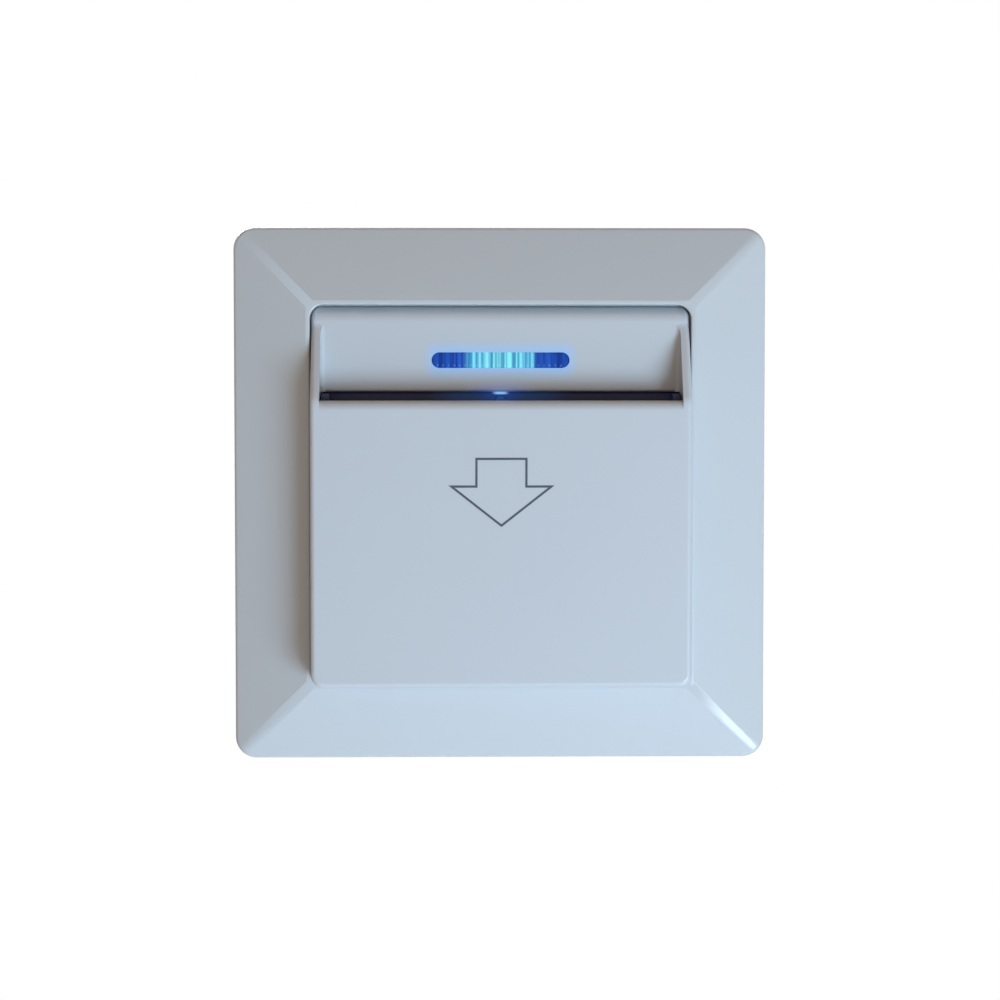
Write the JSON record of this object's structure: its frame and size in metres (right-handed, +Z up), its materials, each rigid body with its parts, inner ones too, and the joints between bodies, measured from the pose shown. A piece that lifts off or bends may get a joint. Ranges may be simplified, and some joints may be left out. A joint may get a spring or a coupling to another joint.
{
  "type": "key card switch",
  "caption": "Square wall switch plate with an upright pocket for a key card, a lit window above the slot and a rear housing with wire terminals.",
  "frame": {"origin": "midway between the two wall screws, on the wall's surface", "axes": "+X to the right, +Y into the wall and +Z up, as the switch hangs"},
  "size_m": [0.086, 0.041, 0.086],
  "materials": {
    "cover_plastic": "smooth white moulding, satin gloss",
    "frame_plastic": "smooth white moulding, satin gloss",
    "blue_lens": "clear blue light bar, lit",
    "light_pipe": "clear light pipe, lit",
    "dark_plastic": "fine matt texture",
    "plate_plastic": "plain moulded",
    "housing_plastic": "fine spark texture",
    "zinc_steel": "zinc plated",
    "board": "green solder mask",
    "copper": "bare copper",
    "contact_brass": "stamped strip",
    "chip_black": "moulded package",
    "lamp_white": "small lamp package",
    "film_yellow": "moulded box",
    "sleeve_blue": "shrunk sleeve",
    "varistor_blue": "dipped coating",
    "fuse_ceramic": "fired tube",
    "relay_case": "moulded case",
    "relay_iron": "nickel plated soft iron",
    "bobbin_plastic": "plain moulded"
  },
  "bodies": {
    "root": {"card_liner": "dark_plastic", "slot_light_pipe": "light_pipe", "mounting_plate": "plate_plastic", "rear_housing": "housing_plastic", "liner_screws": "zinc_steel", "housing_screws": "zinc_steel", "reader_board_screws": "zinc_steel", "power_board_screws": "zinc_steel", "reader_board": "board", "antenna_coil": "copper", "reader_chip": "chip_black", "control_chip": "chip_black", "clock_crystal": "zinc_steel", "window_lamps": "lamp_white", "slot_lamp": "lamp_white", "header_bodies": "chip_black", "header_pins": "contact_brass", "power_board": "board", "film_capacitor": "film_yellow", "electrolytic_capacitor": "sleeve_blue", "varistor": "varistor_blue", "fuse_tube": "fuse_ceramic", "fuse_caps": "zinc_steel", "bridge_rectifier": "chip_black", "voltage_regulator": "chip_black", "relay_case": "relay_case", "relay_base": "relay_case", "relay_pins": "contact_brass", "relay_yoke": "relay_iron", "relay_bobbin": "bobbin_plastic", "relay_winding": "copper", "relay_core": "relay_iron", "relay_fixed_contact": "contact_brass", "terminal_body": "chip_black", "terminal_contacts": "contact_brass"},
    "frame": {"front_frame": "frame_plastic"},
    "cover": {"card_cover": "cover_plastic", "led_lens": "blue_lens"},
    "armature": {"relay_armature": "relay_iron", "relay_contact_blade": "contact_brass"},
    "screw_1": {"terminal_screw_1": "zinc_steel"},
    "cage_1": {"terminal_cage_1": "zinc_steel"},
    "screw_2": {"terminal_screw_2": "zinc_steel"},
    "cage_2": {"terminal_cage_2": "zinc_steel"},
    "screw_3": {"terminal_screw_3": "zinc_steel"},
    "cage_3": {"terminal_cage_3": "zinc_steel"},
    "screw_4": {"terminal_screw_4": "zinc_steel"},
    "cage_4": {"terminal_cage_4": "zinc_steel"}
  },
  "joints": [
    {"name": "cover_pull", "type": "slide", "parent": "root", "child": "cover", "axis": [0, -1, 0], "range_m": [0, 0.025]},
    {"name": "frame_pull", "type": "slide", "parent": "root", "child": "frame", "axis": [0, -1, 0], "range_m": [0, 0.025]},
    {"name": "relay_armature_hinge", "type": "hinge", "parent": "root", "child": "armature", "pos_m": [-0.0186, 0.0185, -0.0056], "axis": [0, 0, -1], "range_deg": [0, 3], "stiffness_Nm_per_rad": 0.02, "springref_deg": -2.86},
    {"name": "terminal_screw_1_turn", "type": "hinge", "parent": "root", "child": "screw_1", "pos_m": [-0.015, 0.0202, -0.018], "axis": [0, -1, 0], "range_deg": [0, 2160]},
    {"name": "terminal_cage_1_rise", "type": "slide", "parent": "root", "child": "cage_1", "axis": [0, 1, 0], "range_m": [0, 0.003]},
    {"name": "terminal_screw_2_turn", "type": "hinge", "parent": "root", "child": "screw_2", "pos_m": [-0.005, 0.0202, -0.018], "axis": [0, -1, 0], "range_deg": [0, 2160]},
    {"name": "terminal_cage_2_rise", "type": "slide", "parent": "root", "child": "cage_2", "axis": [0, 1, 0], "range_m": [0, 0.003]},
    {"name": "terminal_screw_3_turn", "type": "hinge", "parent": "root", "child": "screw_3", "pos_m": [0.005, 0.0202, -0.018], "axis": [0, -1, 0], "range_deg": [0, 2160]},
    {"name": "terminal_cage_3_rise", "type": "slide", "parent": "root", "child": "cage_3", "axis": [0, 1, 0], "range_m": [0, 0.003]},
    {"name": "terminal_screw_4_turn", "type": "hinge", "parent": "root", "child": "screw_4", "pos_m": [0.015, 0.0202, -0.018], "axis": [0, -1, 0], "range_deg": [0, 2160]},
    {"name": "terminal_cage_4_rise", "type": "slide", "parent": "root", "child": "cage_4", "axis": [0, 1, 0], "range_m": [0, 0.003]}
  ],
  "couplings": [
    {"joint": "terminal_screw_1_turn", "follows": "terminal_cage_1_rise", "rad_per_m": 12566},
    {"joint": "terminal_screw_2_turn", "follows": "terminal_cage_2_rise", "rad_per_m": 12566},
    {"joint": "terminal_screw_3_turn", "follows": "terminal_cage_3_rise", "rad_per_m": 12566},
    {"joint": "terminal_screw_4_turn", "follows": "terminal_cage_4_rise", "rad_per_m": 12566}
  ]
}
